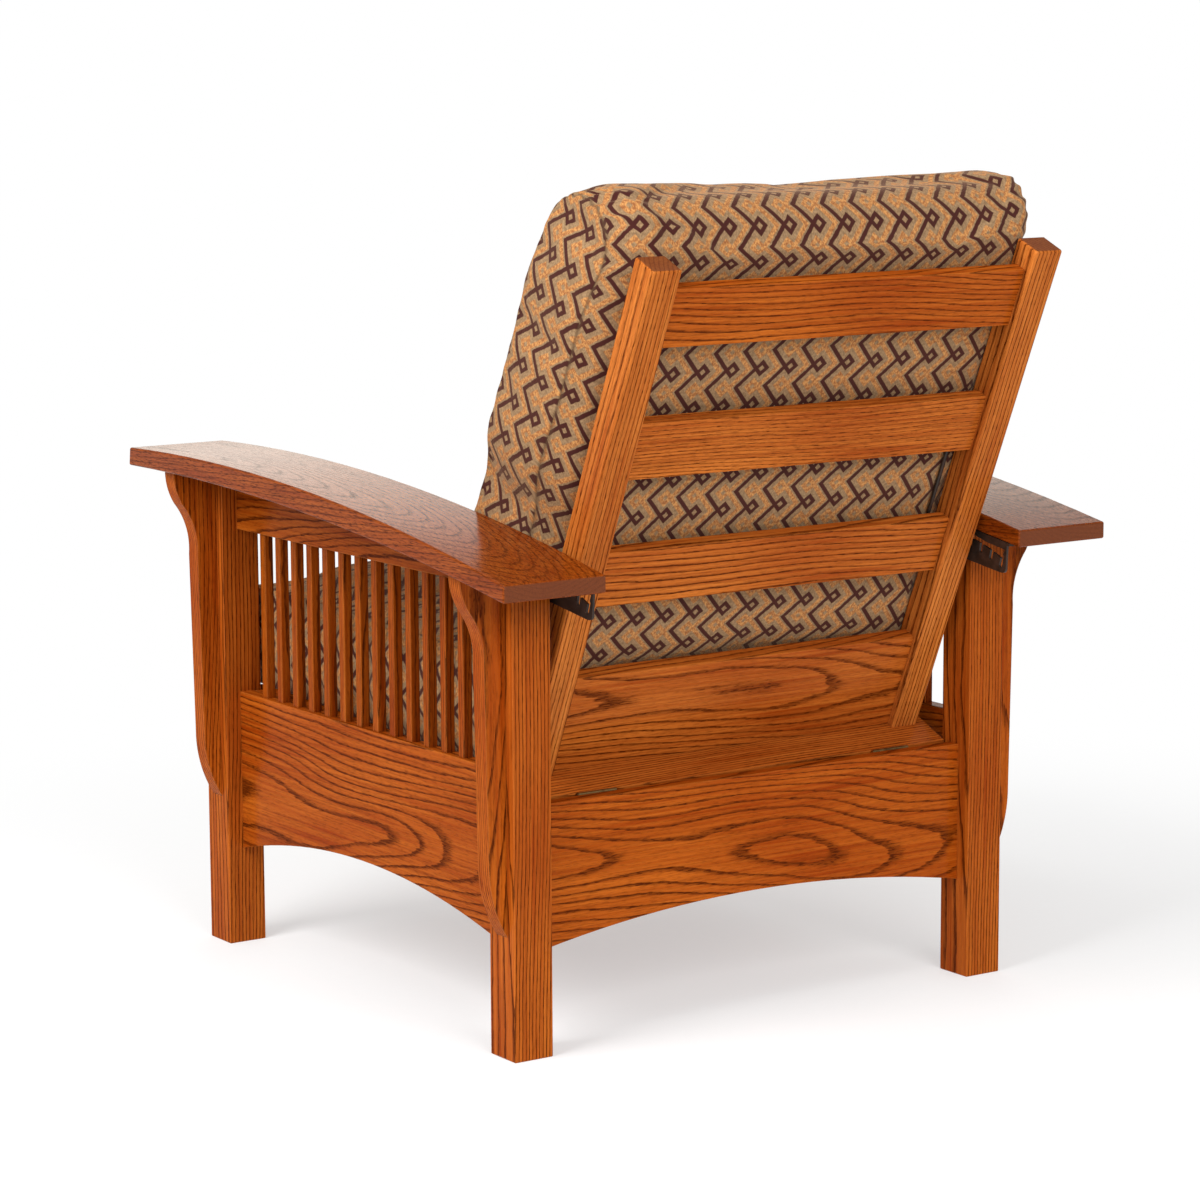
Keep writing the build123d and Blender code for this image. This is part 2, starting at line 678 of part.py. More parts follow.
# cushions
def seat_outline(height, inset, shift):
    """The seat cushion's outline at one height: four edges drawn in between the corners."""
    half = seat_half - inset
    front, rear = inset, seat_depth + shift - inset
    draw = SEAT_DRAW * half / seat_half
    corners = [(-half, front), (half, front), (half, rear), (-half, rear)]
    middles = [(0, front + draw), (half - draw, (front + rear) / 2)]
    middles += [(0, rear - draw), (-half + draw, (front + rear) / 2)]
    outline = Curve()
    for i, middle in enumerate(middles):
        points = corners[i], middle, corners[(i + 1) % 4]
        outline += ThreePointArc(*((x, y, height) for x, y in points))
    return make_face(outline)


def seat_cushion():
    """The seat cushion on the sloping deck: rolled below, boxed, and crowned on top."""
    roll = [seat_outline(h * SEAT_ROLL, r * SEAT_ROLL, 0) for h, r in SEAT_ROLL_SHARES]
    pad = loft(roll, ruled=True)
    boxing = [seat_outline(SEAT_ROLL, 0, 0), seat_outline(SEAT_BOX, 0, SEAT_BACK_RAKE)]
    pad += loft(boxing, ruled=True)
    crown = []
    for h, r in SEAT_CROWN_SHARES:
        crown.append(seat_outline(SEAT_BOX + h * SEAT_CROWN, r * seat_half, SEAT_BACK_RAKE))
    pad += loft(crown, ruled=True)
    return Pos(0, seat_front, deck_height(seat_front) + REST_GAP) * Rot(-DECK_FALL, 0, 0) * pad


def pad_outline(t, half, rear, seam, front, crown):
    """The back cushion's outline at one height: flat rear, seamed sides and crowned front."""
    flat = half * PAD_FLAT_SHARE
    draw = PAD_DRAW * (front - seam) / PAD_DEPTH
    middle = (seam + front) / 2
    places = [(-flat, rear), (flat, rear), (half, seam), (half, front), (-half, front), (-half, seam)]
    a, b, c, d, e, f = [(x, -n, t) for x, n in places]
    over, out = PAD_CORNER_SHARE
    bend = flat + (half - flat) * over, -rear - (seam - rear) * out
    outline = Line(a, b) + ThreePointArc(b, (bend[0], bend[1], t), c)
    outline += ThreePointArc(a, (-bend[0], bend[1], t), f)
    outline += ThreePointArc(c, (half - draw, -middle, t), d)
    outline += ThreePointArc(d, (0, -front - crown, t), e)
    outline += ThreePointArc(e, (-half + draw, -middle, t), f)
    return make_face(outline)


def back_cushion():
    """The back cushion, leaning on the stiles and standing on the seat cushion."""
    rear = STILE_DEPTH + REST_GAP
    between_arms = arm_inner - PAD_SIDE_GAP
    above_arms = arm_inner + PAD_OVER_ARM
    rise = PAD_TOP - PAD_BOTTOM
    faces = []
    for wide, height, width, back, seam, front, crown in PAD_ROW_SHARES:
        half = width * (above_arms if wide else between_arms)
        places = [rear + PAD_DEPTH * share for share in (back, seam, front)]
        faces.append(pad_outline(PAD_BOTTOM + height * rise, half, *places, PAD_CROWN * crown))
    return leaned(loft(faces, ruled=True))


seat_half = leg_inner_x - SEAT_SIDE_CLEARANCE
seat_front = -half_depth + SEAT_FRONT_LAP
seat_depth = board_front_y - SEAT_BACK_CLEARANCE - seat_front


def pair(name, shape):
    """Adds a piece and its mirror image under the names of the two sides."""
    parts[name + "_left"] = shape
    parts[name + "_right"] = mirrored(shape)


def group(shapes):
    """Several separate solids as one named piece."""
    return Compound([solid for shape in shapes for solid in shape.solids()])


parts = {}
pair("leg_front", leg(-leg_y))
pair("leg_rear", leg(leg_y))
pair("corbel_front", corbel(-leg_y))
pair("corbel_rear", corbel(leg_y))
pair("arm", arm())
pair("side_rail", side_rail())
pair("apron", apron())
pair("spindles", group(spindles()))
parts["front_rail"] = front_rail()
parts["rear_rail"] = rear_rail()
pair("seat_cleat", cleat())
parts["cleat_screws"] = group(cleat_screws(0) + [mirrored(s) for s in cleat_screws(0)])
parts["seat_slats"] = group(deck_slats())
parts["seat_cushion"] = seat_cushion()
pair("comb_bracket", comb())
screws = comb_screws(pan_screw, 0)
parts["comb_screws"] = group(screws + [mirrored(s) for s in screws])
for side, name in ((1, "left"), (-1, "right")):
    parts["hinge_leaf_fixed_" + name] = at_axis(leaf(False), side)
    parts["hinge_leaf_moving_" + name] = at_axis(on_board(leaf(True)), side)
parts["hinge_pins"] = group([hinge_pin(-1), hinge_pin(1)])
parts["hinge_screws_fixed"] = group(fixed_hinge_screws(0))
parts["hinge_screws_moving"] = group(moving_hinge_screws(0))
parts["hinge_board"] = hinge_board()
parts["board_screws"] = group([leaned(s) for s in board_screws(0)])
pair("stile", stile())
parts["back_rail"] = back_rail()
for index, name in enumerate(("lower", "middle", "top")):
    parts["back_slat_" + name] = back_slat(index)
parts["back_cushion"] = back_cushion()
parts["latch_rod"] = latch_rod()
pair("latch_lever", latch_lever())

# the origin is on the floor under the middle of the whole chair
stile_top_y = back_place(STILE_LENGTH - STILE_EDGE, STILE_EDGE)[0] + STILE_EDGE
middle_y = (arm_front + stile_top_y) / 2
os.makedirs("parts", exist_ok=True)
for name, shape in parts.items():
    export_step(Pos(0, -middle_y, 0) * shape, f"parts/{name}.step")
print("origin is", round(middle_y, 3), "behind the middle of the legs")
print("hinge axis at y", round(hinge_y - middle_y, 3), "z", round(hinge_z, 3), "travel", travel)
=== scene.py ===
from math import copysign, cos, radians, sin

import bmesh
import bpy
import numpy as np
from mathutils import Euler, Matrix, Vector


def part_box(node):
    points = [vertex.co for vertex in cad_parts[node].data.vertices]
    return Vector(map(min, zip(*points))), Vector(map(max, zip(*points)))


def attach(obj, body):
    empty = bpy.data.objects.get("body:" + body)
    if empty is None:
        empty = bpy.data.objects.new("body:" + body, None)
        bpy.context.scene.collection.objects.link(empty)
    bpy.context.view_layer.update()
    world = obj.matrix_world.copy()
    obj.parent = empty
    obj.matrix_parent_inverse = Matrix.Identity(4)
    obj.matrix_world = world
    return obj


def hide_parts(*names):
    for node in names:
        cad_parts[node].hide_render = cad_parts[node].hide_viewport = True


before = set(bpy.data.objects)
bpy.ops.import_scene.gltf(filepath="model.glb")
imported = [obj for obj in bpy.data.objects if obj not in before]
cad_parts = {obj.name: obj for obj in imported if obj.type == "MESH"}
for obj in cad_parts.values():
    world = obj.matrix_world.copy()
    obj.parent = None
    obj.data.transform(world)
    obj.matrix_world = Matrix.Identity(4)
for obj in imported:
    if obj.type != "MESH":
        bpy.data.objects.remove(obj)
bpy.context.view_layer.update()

# The studio: the chair stands on a seamless white sweep and is seen from behind and from its
# left, from a little above its back, in soft light from large boxes beside and above the
# camera. A low box in front of the chair shines along the tops of the arms.
scene = bpy.context.scene
scene.view_settings.view_transform = "Standard"

LENS = 111.717
CAMERA_PLACE = Vector((2.5264, 3.6772, 1.1623))
CAMERA_AIM = Vector((-0.55418, -0.81746, -0.15701)).normalized()
CAMERA_ROLL = radians(-0.28)

camera = bpy.data.objects.new("camera", bpy.data.cameras.new("camera"))
camera.data.lens = LENS
level = CAMERA_AIM.cross((0, 0, 1)).normalized()
upright = level.cross(CAMERA_AIM)
across = level * cos(CAMERA_ROLL) + upright * sin(CAMERA_ROLL)
upwards = upright * cos(CAMERA_ROLL) - level * sin(CAMERA_ROLL)
turned = Matrix((across, upwards, -CAMERA_AIM)).transposed().to_4x4()
camera.matrix_world = Matrix.Translation(CAMERA_PLACE) @ turned
scene.collection.objects.link(camera)
scene.camera = camera


def soft_box(name, place, target, width, height, power, tint=(1, 1, 1)):
    """A large soft light that faces a target and isn't seen itself."""
    light = bpy.data.lights.new(name, "AREA")
    light.shape = "RECTANGLE"
    light.size, light.size_y, light.energy = width, height, power
    light.color = tint
    box = bpy.data.objects.new(name, light)
    facing = (Vector(target) - Vector(place)).to_track_quat("-Z", "Y")
    box.matrix_world = Matrix.Translation(place) @ facing.to_matrix().to_4x4()
    box.visible_camera = False
    scene.collection.objects.link(box)


soft_box("key_box", place=(3.1, 0.5, 2.7), target=(0, 0, 0.5), width=2.0, height=2.0, power=140)
soft_box("rear_box", place=(0.6, 3.9, 2.3), target=(0, 0, 0.4), width=2.4, height=1.6, power=95)
soft_box("arm_box", place=(-2.3, -3.5, 1.6), target=(0, 0, 0.6), width=3.0, height=1.6, power=28,
         tint=(1.0, 0.97, 0.84))


class Wire:
    """One socket of a node tree, which can be reckoned with like a number."""

    def __init__(self, tree, socket=None):
        self.tree = tree
        self.socket = socket

    def add(self, kind, settings, inputs, output=0):
        """A new node's output, or several outputs if a list of them is asked for."""
        node = self.tree.nodes.new("ShaderNode" + kind)
        for name, value in settings.items():
            setattr(node, name, value)
        for name, value in inputs.items():
            if isinstance(value, Wire):
                self.tree.links.new(value.socket, node.inputs[name])
            else:
                node.inputs[name].default_value = value
        if isinstance(output, list):
            return [Wire(self.tree, node.outputs[one]) for one in output]
        return Wire(self.tree, node.outputs[output])

    def __add__(self, other):
        return self.add("Math", {"operation": "ADD"}, {0: self, 1: other})

    def __radd__(self, other):
        return self.add("Math", {"operation": "ADD"}, {0: other, 1: self})

    def __sub__(self, other):
        return self.add("Math", {"operation": "SUBTRACT"}, {0: self, 1: other})

    def __rsub__(self, other):
        return self.add("Math", {"operation": "SUBTRACT"}, {0: other, 1: self})

    def __mul__(self, other):
        return self.add("Math", {"operation": "MULTIPLY"}, {0: self, 1: other})

    def __rmul__(self, other):
        return self.add("Math", {"operation": "MULTIPLY"}, {0: other, 1: self})

    def __truediv__(self, other):
        return self.add("Math", {"operation": "DIVIDE"}, {0: self, 1: other})

    def __rtruediv__(self, other):
        return self.add("Math", {"operation": "DIVIDE"}, {0: other, 1: self})


def noise(place, scale, detail):
    """A cloudy value from 0 to 1 with about this many clouds to the metre."""
    return place.add("TexNoise", {}, {"Vector": place, "Scale": scale, "Detail": detail})


def mixed(share, first, second):
    """The first colour, turned into the second by a share from 0 to 1."""
    return share.add("Mix", {"data_type": "RGBA"}, {0: share, 6: first, 7: second}, 2)


def eased(value, start, end, least=0.0):
    """From least to 1, with soft ends, while a value goes from start to end."""
    return value.add("MapRange", {"interpolation_type": "SMOOTHSTEP"},
                     {"Value": value, "From Min": start, "From Max": end, "To Min": least})


def finish(name):
    """A new material, its node tree and its shader node."""
    material = bpy.data.materials.new(name)
    material.use_nodes = True
    return material, material.node_tree, material.node_tree.nodes["Principled BSDF"]


# the room is plain white to the camera, and half as bright to what it lights
ROOM_LIGHT = 0.50
WHITE = (1, 1, 1, 1)
world = bpy.data.worlds.new("white_sweep")
world.use_nodes = True
scene.world = world
seen, passed = Wire(world.node_tree).add("LightPath", {}, {},
                                         ["Is Camera Ray", "Is Transmission Ray"])
plain = seen.add("Math", {"operation": "MAXIMUM"}, {0: seen, 1: passed})
strength = plain * (1 - ROOM_LIGHT) + ROOM_LIGHT
background = world.node_tree.nodes["Background"]
background.inputs["Color"].default_value = WHITE
world.node_tree.links.new(strength.socket, background.inputs["Strength"])

# the floor is paper that catches the chair's shadow and fades to plain white round it
FLOOR_SIZE = 30.0
FADE_START = 0.5
FADE_END = 1.7
FADE_LEAST = 0.48
PAPER_DULL = (0.93, 0.93, 0.93, 1)
PAPER_BRIGHT = (0.96, 0.96, 0.96, 1)
mesh = bpy.data.meshes.new("floor")
builder = bmesh.new()
bmesh.ops.create_grid(builder, x_segments=1, y_segments=1, size=FLOOR_SIZE / 2)
builder.to_mesh(mesh)
builder.free()
floor = bpy.data.objects.new("floor", mesh)
scene.collection.objects.link(floor)

paper, tree, shader = finish("paper")
place = Wire(tree).add("TexCoord", {}, {}, "Object")
pale = mixed(noise(place, 60.0, 3.0), PAPER_DULL, PAPER_BRIGHT)
tree.links.new(pale.socket, shader.inputs["Base Color"])
shader.inputs["Roughness"].default_value = 1.0
shader.inputs["Specular IOR Level"].default_value = 0.0
away = place.add("VectorMath", {"operation": "LENGTH"}, {0: place}, "Value")
fade = eased(away, FADE_START, FADE_END, FADE_LEAST)
glow = Wire(tree).add("Emission", {}, {"Color": WHITE, "Strength": 1.0})
blend = tree.nodes.new("ShaderNodeMixShader")
tree.links.new(fade.socket, blend.inputs[0])
tree.links.new(shader.outputs["BSDF"], blend.inputs[1])
tree.links.new(glow.socket, blend.inputs[2])
tree.links.new(blend.outputs["Shader"], tree.nodes["Material Output"].inputs["Surface"])
floor.data.materials.append(paper)

# The legs: four square posts of solid oak, planed and stained a warm brown under a satin
# varnish. The arms are screwed down on their sawn tops, and the rails are tenoned between them.
OAK_STAIN = (0.270, 0.036, 0.0016, 1)
OAK_LIGHT = (0.50, 0.118, 0.010, 1)
OAK_PALE = (0.66, 0.225, 0.045, 1)
OAK_DARK = (0.080, 0.013, 0.0012, 1)
OAK_END = (0.130, 0.038, 0.015, 1)
UPRIGHT = (0, 0, 0)

# the log: slow waves and ripples bend its rings, which are drawn out along the grain
LOG_STRETCH = (1, 1, 0.28)
WAVE_SCALE = 8.0
WAVE_GAIN = 2.4
RIPPLE_SCALE = 42.0
RIPPLE_HEIGHT = 0.0030
JAG_SCALE = 330.0
JAG_SHARE = 0.24
SIDEWAYS_TAPER = 0.6

# a ring: shares of its width at which the dark early wood begins, is full and is over
EARLY_BEGINS = 0.94
EARLY_FULL = 0.05
EARLY_OVER = 0.34

# the wood between: pores are short dashes, and streaks and veins run far along the grain
DASH_STRETCH = (1, 1, 0.10)
PORE_SCALE = 920.0
PORE_START = 0.50
PORE_FULL = 0.64
STREAK_STRETCH = (1, 1, 0.02)
STREAK_SCALE = 230.0
CLOUD_SCALE = 13.0
VEIN_SCALE = 560.0
VEIN_START = 0.48
VEIN_FULL = 0.62
VEIN_DEPTH = 0.20

# how dark the early wood is, evenly, in patches and where its pores lie, and the pores elsewhere
EARLY_DEPTH = 0.36
EARLY_CLOUDS = 0.55
EARLY_PORES = 0.30
PORE_DEPTH = 0.60
PORE_FIGURE = 0.34

# how light the stain is, how the edges are painted lighter for wear and highlight, and how the varnish
# lies
TONE_MIDDLE = 0.42
TONE_STREAKS = 1.5
TONE_CLOUDS = 1.1
PALE_EVEN = 0.2
PALE_STREAKED = 0.8
WEAR_AND_HIGHLIGHT_RADIUS = 0.0022
WEAR_AND_HIGHLIGHT_START = 0.985
WEAR_AND_HIGHLIGHT_FULL = 0.80
WEAR_AND_HIGHLIGHT_SHARE = 0.38
END_START = 0.80
END_FULL = 0.97
END_SHARE = 0.8
WOOD_ROUGHNESS = 0.42
GRAIN_DEPTH = 0.0004
VARNISH_IOR = 1.24
VARNISH_ROUGHNESS = 0.20


def oak(piece, turn, pith, taper, ring=0.0050, warp=0.012, pale=0.0, figure=1.0, polish=0.32,
        deep=0.0):
    """Stained oak whose grain runs along Z once the piece is moved to the origin and turned.
    The pith is the log's middle beside the piece, taper tilts the grain along it, ring is how
    wide a ring is and warp how far its waves reach. Pale is how light the board is, on the hinge
    board also as painted light, figure how strong its rings show, polish how it shines, and deep
    how much darker it is than the rest, on the spindles as painted shade."""
    low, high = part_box(piece)
    shift = -(Euler(turn).to_matrix() @ ((low + high) / 2))
    material, tree, shader = finish("oak_" + piece)
    place = Wire(tree).add("TexCoord", {}, {}, "Object")
    place = place.add("Mapping", {}, {"Vector": place, "Location": shift, "Rotation": turn})
    x, y, z = place.add("SeparateXYZ", {}, {0: place}, ["X", "Y", "Z"])
    log = place.add("Mapping", {}, {"Vector": place, "Scale": LOG_STRETCH})
    short = place.add("Mapping", {}, {"Vector": place, "Scale": DASH_STRETCH})
    long = place.add("Mapping", {}, {"Vector": place, "Scale": STREAK_STRETCH})

    # growth rings round the pith
    wave = noise(log, WAVE_SCALE, 1.0) - 0.5
    ripple = noise(log, RIPPLE_SCALE, 2.0) - 0.5
    jag = noise(short, JAG_SCALE, 2.0) - 0.5
    away_x = x - pith[0] + z * taper
    away_y = y - pith[1] + z * taper * SIDEWAYS_TAPER
    radius = x.add("Math", {"operation": "SQRT"}, {0: away_x * away_x + away_y * away_y})
    radius = radius + wave * warp * WAVE_GAIN + ripple * RIPPLE_HEIGHT + jag * ring * JAG_SHARE
    phase = radius.add("Math", {"operation": "FRACT"}, {0: radius / ring})
    fall = eased(phase, EARLY_OVER, EARLY_FULL)
    rise = eased(phase, EARLY_BEGINS, 1.0)
    early = fall.add("Math", {"operation": "MAXIMUM"}, {0: fall, 1: rise})

    # open pores, which crowd in the early wood of every ring, and darker veins
    pore = eased(noise(short, PORE_SCALE, 2.0), PORE_START, PORE_FULL)
    streak = noise(long, STREAK_SCALE, 3.0)
    cloud = noise(log, CLOUD_SCALE, 2.0)
    vein = eased(noise(long, VEIN_SCALE, 2.0), VEIN_START, VEIN_FULL)
    depth = early * (EARLY_DEPTH + cloud * EARLY_CLOUDS + pore * EARLY_PORES) * figure
    depth = depth + pore * (PORE_DEPTH - figure * PORE_FIGURE)
    depth = depth + vein * VEIN_DEPTH + deep

    tone = TONE_MIDDLE + (streak - 0.5) * TONE_STREAKS + (cloud - 0.5) * TONE_CLOUDS
    colour = mixed(tone, OAK_STAIN, OAK_LIGHT)
    colour = mixed(tone * PALE_STREAKED * pale + pale * PALE_EVEN, colour, OAK_PALE)
    colour = mixed(depth, colour, OAK_DARK)

    # end grain drinks more stain
    outward = Wire(tree).add("TexCoord", {}, {}, "Normal")
    outward = outward.add("Mapping", {"vector_type": "NORMAL"}, {"Vector": outward, "Rotation": turn})
    along = outward.add("SeparateXYZ", {}, {0: outward}, "Z")
    along = along.add("Math", {"operation": "ABSOLUTE"}, {0: along})
    end = along.add("MapRange", {},
                    {"Value": along, "From Min": END_START, "From Max": END_FULL, "To Max": END_SHARE})
    colour = mixed(end, colour, OAK_END)

    # the edges are painted lighter, for worn finish and a painted highlight where rounded edges catch
    # light
    rounded = Wire(tree).add("Bevel", {"samples": 4}, {"Radius": WEAR_AND_HIGHLIGHT_RADIUS})
    flat = Wire(tree).add("NewGeometry", {}, {}, "True Normal")
    facing = rounded.add("VectorMath", {"operation": "DOT_PRODUCT"}, {0: rounded, 1: flat}, "Value")
    worn = facing.add("MapRange", {},
                      {"Value": facing, "From Min": WEAR_AND_HIGHLIGHT_START, "From Max": WEAR_AND_HIGHLIGHT_FULL})
    colour = mixed(worn * WEAR_AND_HIGHLIGHT_SHARE, colour, OAK_PALE)

    tree.links.new(colour.socket, shader.inputs["Base Color"])
    roughness = WOOD_ROUGHNESS + cloud * 0.14 + pore * 0.12
    tree.links.new(roughness.socket, shader.inputs["Roughness"])
    varnish = (1.0 - depth * 0.4) * polish
    tree.links.new(varnish.socket, shader.inputs["Coat Weight"])
    relief = 1.0 - pore * 0.7 - early * 0.3
    bump = relief.add("Bump", {}, {"Height": relief, "Strength": 0.30, "Distance": GRAIN_DEPTH,
                                   "Normal": rounded})
    tree.links.new(bump.socket, shader.inputs["Normal"])
    shader.inputs["Specular IOR Level"].default_value = 0.0
    shader.inputs["Coat IOR"].default_value = VARNISH_IOR
    shader.inputs["Coat Roughness"].default_value = VARNISH_ROUGHNESS
    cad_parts[piece].data.materials[0] = material


LEGS = ("leg_front_left", "leg_front_right", "leg_rear_left", "leg_rear_right")
for index, piece in enumerate(LEGS):
    oak(piece, UPRIGHT, pith=(0.19 + 0.03 * index, 0.13 - 0.02 * index), taper=0.012,
        ring=0.0046, warp=0.007, pale=0.12, figure=1.25)

# The side rails: flat boards of plain-sawn oak with an arched lower edge, tenoned into the legs.
# Their broad faces show the cathedral figure of a board cut beside the pith.
ALONG_Y = (radians(90), 0, 0)
oak("side_rail_left", ALONG_Y, pith=(-0.050, 0.02), taper=0.07, ring=0.0080, warp=0.026, deep=0.10)
oak("side_rail_right", ALONG_Y, pith=(0.060, -0.01), taper=0.05, ring=0.0075, warp=0.020, deep=0.10)

# The spindles and aprons: thin square sticks mortised into the side rail below and into the
# apron above, which follows the arm.
for side, beside in (("left", 0.11), ("right", -0.13)):
    # the spindles are painted darker (deep) as painted shade, where they shade one another
    oak("spindles_" + side, UPRIGHT, pith=(beside, 0.30), taper=0.010, ring=0.0032, warp=0.006,
        deep=0.15)
    oak("apron_" + side, ALONG_Y, pith=(beside, 0.06), taper=0.03, ring=0.0040, deep=0.12)

# The front and rear rails: boards like the side rails, crosswise between the legs. The rear
# one carries the fixed leaves of the hinges.
ALONG_X = (0, radians(90), 0)
oak("front_rail", ALONG_X, pith=(0.01, 0.055), taper=0.05)
oak("rear_rail", ALONG_X, pith=(-0.012, -0.052), taper=0.06, ring=0.0066, warp=0.026)

# The seat deck: a cleat glued and screwed inside each side rail, and seven loose slats that
# lie on the cleats. The slats are plain oak without tenons.
for side in ("left", "right"):
    oak("seat_cleat_" + side, ALONG_Y, pith=(0.15, 0.10), taper=0.02, ring=0.0036, warp=0.006)
oak("seat_slats", ALONG_X, pith=(0.08, 0.20), taper=0.02)

MOTTLE_SCALE = 90.0
MOTTLE_START = 0.42
MOTTLE_FULL = 0.68
MOTTLE_DEPTH = 0.0003


def steel(name, colour, worn, roughness, metallic, pieces):
    """Metal with fine mottling, for small fittings."""
    material, tree, shader = finish(name)
    cloud = noise(Wire(tree).add("TexCoord", {}, {}, "Object"), MOTTLE_SCALE, 4.0)
    mottle = cloud.add("MapRange", {},
                       {"Value": cloud, "From Min": MOTTLE_START, "From Max": MOTTLE_FULL})
    tree.links.new(mixed(mottle, colour, worn).socket, shader.inputs["Base Color"])
    tree.links.new((mottle * 0.2 + roughness).socket, shader.inputs["Roughness"])
    bump = cloud.add("Bump", {}, {"Height": cloud, "Strength": 0.15, "Distance": MOTTLE_DEPTH})
    tree.links.new(bump.socket, shader.inputs["Normal"])
    shader.inputs["Metallic"].default_value = metallic
    for piece in pieces:
        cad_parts[piece].data.materials[0] = material


steel("screw_steel", colour=(0.46, 0.44, 0.40, 1), worn=(0.26, 0.22, 0.18, 1), roughness=0.32,
      metallic=1.0, pieces=["cleat_screws"])

# The corbels: long brackets sawn from board, with an S-curve down their free edge, glued to
# the outer face of each leg under the arm.
CORBELS = ("corbel_front_left", "corbel_front_right", "corbel_rear_left", "corbel_rear_right")
for index, piece in enumerate(CORBELS):
    oak(piece, UPRIGHT, pith=(0.05 - 0.02 * index, 0.07 + 0.02 * index), taper=0.02,
        ring=0.0040, warp=0.008)

# The arms: wide boards bent over their length, with well rounded upper edges that the hands
# have polished, screwed down on legs and aprons from below.
for piece, pith, taper in (("arm_left", (0.03, -0.07), 0.035), ("arm_right", (-0.03, -0.08), 0.03)):
    oak(piece, ALONG_Y, pith, taper, ring=0.0050, warp=0.012, figure=0.5, polish=1.0, deep=0.42)

# The combs: folded plates of blackened steel under the rear of the arms, cut with a row of
# notches for the latch rod and held by two round-headed screws each. The rod and its two
# lifting levers are of the same steel.
steel("black_steel", colour=(0.022, 0.014, 0.010, 1), worn=(0.050, 0.024, 0.014, 1), roughness=0.42,
      metallic=0.35,
      pieces=["comb_bracket_left", "comb_bracket_right", "comb_screws", "latch_rod",
              "latch_lever_left", "latch_lever_right"])

# The hinges: two pressed brass butts on the rear rail, each with a fixed and a moving leaf,
# a pin with small ball ends and three countersunk screws a leaf.
steel("brass", colour=(0.30, 0.19, 0.075, 1), worn=(0.12, 0.065, 0.026, 1), roughness=0.28,
      metallic=1.0,
      pieces=["hinge_leaf_fixed_left", "hinge_leaf_fixed_right", "hinge_leaf_moving_left",
              "hinge_leaf_moving_right", "hinge_pins", "hinge_screws_fixed", "hinge_screws_moving"])

# The back frame: two stiles with a wide bottom rail and three slats tenoned between them, on
# a board across the foot that the hinges carry. It leans, so its grain does too.
LEAN = radians(23.5)
LEANED_UP = (LEAN, 0, 0)
LEANED_ACROSS = (LEAN, radians(90), 0)
# the hinge board is painted paler: its pale stain, and painted light against the back's shadow on it
oak("hinge_board", LEANED_ACROSS, pith=(0.04, 0.12), taper=0.03, ring=0.0040, pale=0.35, figure=1.1)
oak("stile_left", LEANED_UP, pith=(-0.16, 0.10), taper=0.012, warp=0.006, pale=0.75, figure=0.95)
oak("stile_right", LEANED_UP, pith=(0.17, 0.09), taper=0.012, ring=0.0052, warp=0.006, pale=0.75,
    figure=1.05)
oak("back_rail", LEANED_ACROSS, pith=(0.015, -0.06), taper=0.05, ring=0.0060, warp=0.014, pale=0.3)
oak("back_slat_lower", LEANED_ACROSS, pith=(-0.12, -0.09), taper=0.02, ring=0.0062, warp=0.010,
    pale=0.35, figure=1.1)
oak("back_slat_middle", LEANED_ACROSS, pith=(0.12, -0.08), taper=0.02, ring=0.0040, warp=0.009,
    pale=0.40, figure=0.75)
oak("back_slat_top", LEANED_ACROSS, pith=(-0.10, -0.10), taper=0.03, ring=0.0048, pale=0.08)
steel("dull_steel", colour=(0.40, 0.38, 0.35, 1), worn=(0.22, 0.19, 0.16, 1), roughness=0.36,
      metallic=1.0, pieces=["board_screws"])

# The seat cushion: a firm pad with a crowned top, in a boxed cover of fret-woven upholstery
# cloth with plain sewn seams. It lies loose on the slats.
SEAT_HALF = 0.297
SEAT_SIDE_ROOM = 0.006
SEAT_FRONT = -0.4082
SEAT_REAR = 0.161
SEAT_RAKE = 0.024
SEAT_FOOT = 0.3218
SEAT_BOX = 0.130
SEAT_END_ROOM = 0.004
SEAT_CROWN = 0.026
CROWN_POWER = 4
CROWN_EASE = 0.7
SEAT_WAIST = 0.010
SEAT_TUCK = 0.024
TUCK_BAND = 0.3
DECK_SLOPE = 0.0323
SEAT_CUTS = 41
SEAT_GIVE = 0.018

# a place of the cube past this lies on one of its faces
ON_FACE = 0.999

# the cover's cloth while it is filled
FILL_STEPS = 20
FILL_PRESSURE = 3.0
CLOTH_SLACK = 0.02
CLOTH_MASS = 0.25
CLOTH_STIFFNESS = 20
CLOTH_SHEAR = 8
CLOTH_BENDING = 0.6
CLOTH_QUALITY = 6


def cube_grid(cuts):
    """A cube from -1 to 1 as a bmesh, each side cut into a grid."""
    builder = bmesh.new()
    bmesh.ops.create_cube(builder, size=2.0)
    bmesh.ops.subdivide_edges(builder, edges=builder.edges, cuts=cuts, use_grid_fill=True)
    return builder


def padded_piece(name, builder, shape, weave, seam):
    """A cushion: the cube's vertices go to shape, its loops get the cloth's own coordinates,
    and its sewn edges are held while pressure fills the cover."""
    layer = builder.loops.layers.uv.new("weave")
    cloth_seam = builder.verts.layers.float.new("seam")
    for face in builder.faces:
        middle = face.calc_center_median()
        for loop in face.loops:
            loop[layer].uv = weave(loop.vert.co, middle)
    for vert in builder.verts:
        vert[cloth_seam] = seam(vert.co)
        vert.co = shape(vert.co)
    if builder.calc_volume(signed=True) < 0:
        bmesh.ops.reverse_faces(builder, faces=builder.faces)
    mesh = bpy.data.meshes.new(name)
    builder.to_mesh(mesh)
    builder.free()
    piece = bpy.data.objects.new(name, mesh)
    scene.collection.objects.link(piece)
    held = piece.vertex_groups.new(name="seams")
    for vert, value in zip(mesh.vertices, mesh.attributes["seam"].data):
        if value.value > 0.5:
            held.add([vert.index], 1.0, "REPLACE")
    return piece


